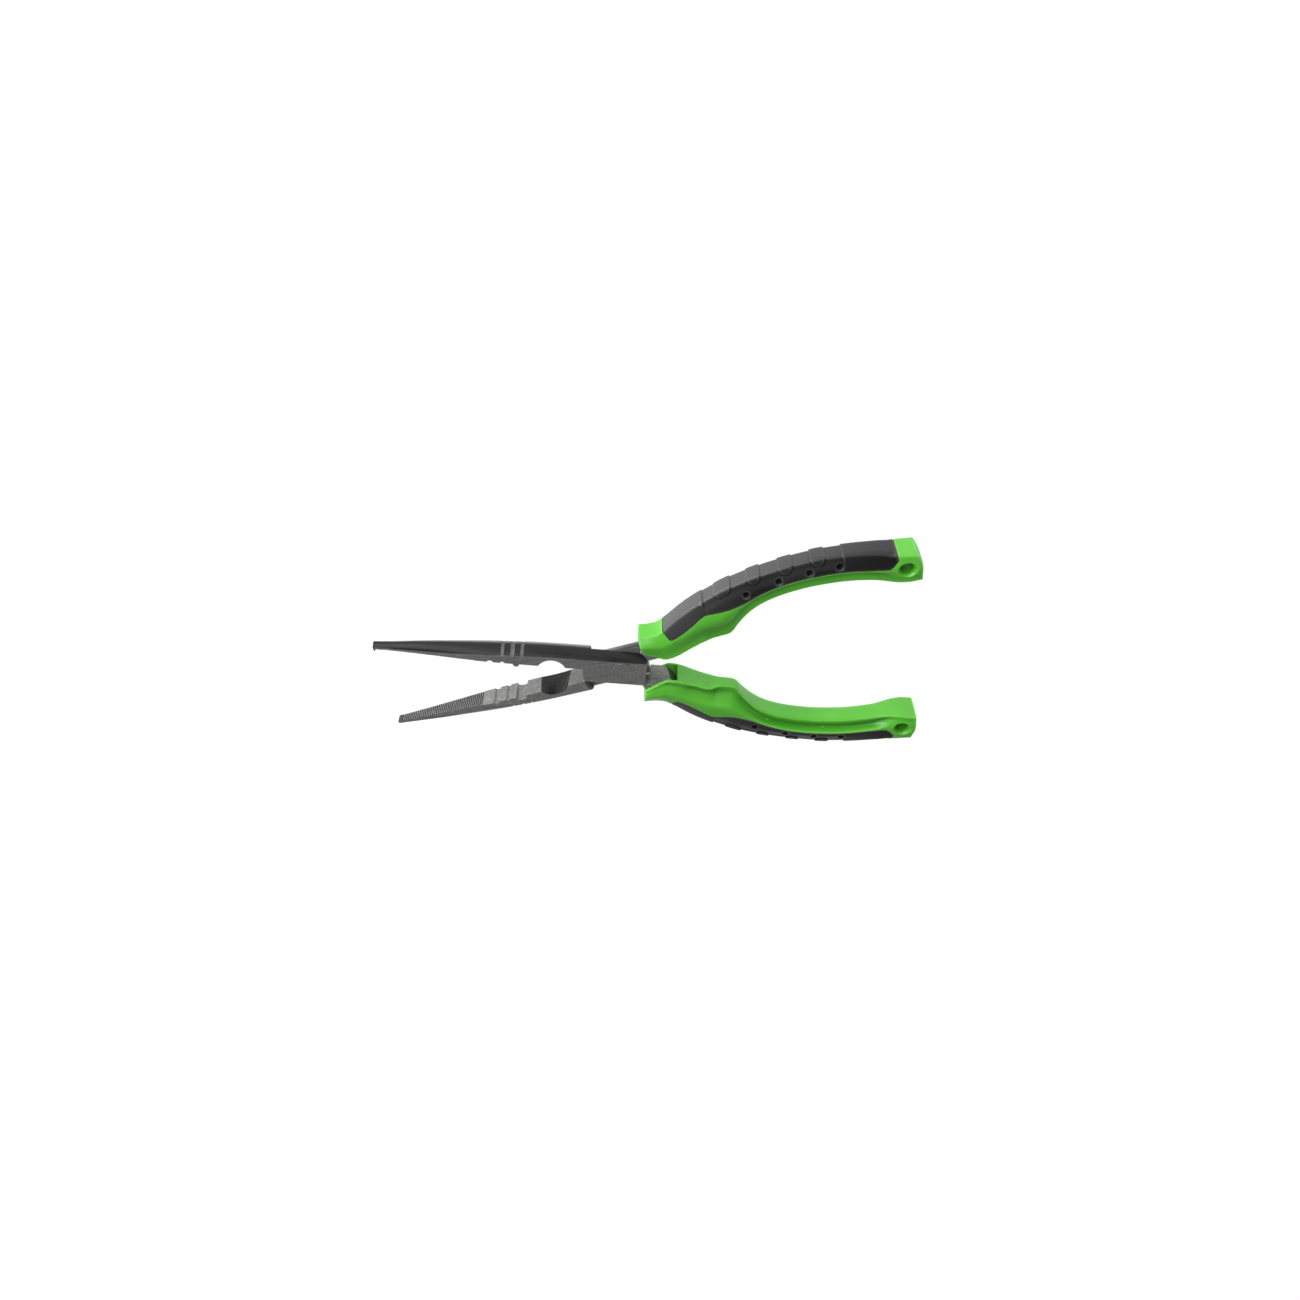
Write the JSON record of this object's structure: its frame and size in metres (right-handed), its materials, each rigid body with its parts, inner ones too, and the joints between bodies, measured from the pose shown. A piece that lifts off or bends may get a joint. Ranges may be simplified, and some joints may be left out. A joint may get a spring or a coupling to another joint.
{
  "type": "fishing pliers",
  "caption": "Long-nose fishing pliers with serrated jaws, hooked tip, side cutter, riveted lap joint and curved two-material handles with lanyard holes in the end caps.",
  "frame": {"origin": "centre of the rivet's flush front face, on the pivot axis", "axes": "+Z along the pivot out of the front face, +X towards the handle ends and along the bisector of the two halves, -X towards the jaw tips"},
  "size_m": [0.2162, 0.0946, 0.0158],
  "materials": {
    "jaw_steel": "dark satin, ground bright on the jaw faces",
    "rivet_steel": "ground flush, satin",
    "handle_green": "semi-gloss moulded",
    "grip_rubber": "fine matt"
  },
  "bodies": {
    "front_half": {"front_jaw_half": "jaw_steel", "pivot_rivet": "rivet_steel", "front_handle_body": "handle_green", "front_soft_grip": "grip_rubber"},
    "rear_half": {"rear_jaw_half": "jaw_steel", "rear_handle_body": "handle_green", "rear_soft_grip": "grip_rubber"}
  },
  "joints": [
    {"name": "pivot", "type": "hinge", "parent": "front_half", "child": "rear_half", "pos_m": [0, 0, 0], "axis": [0, 0, 1], "range_deg": [-22.4, 25]}
  ]
}
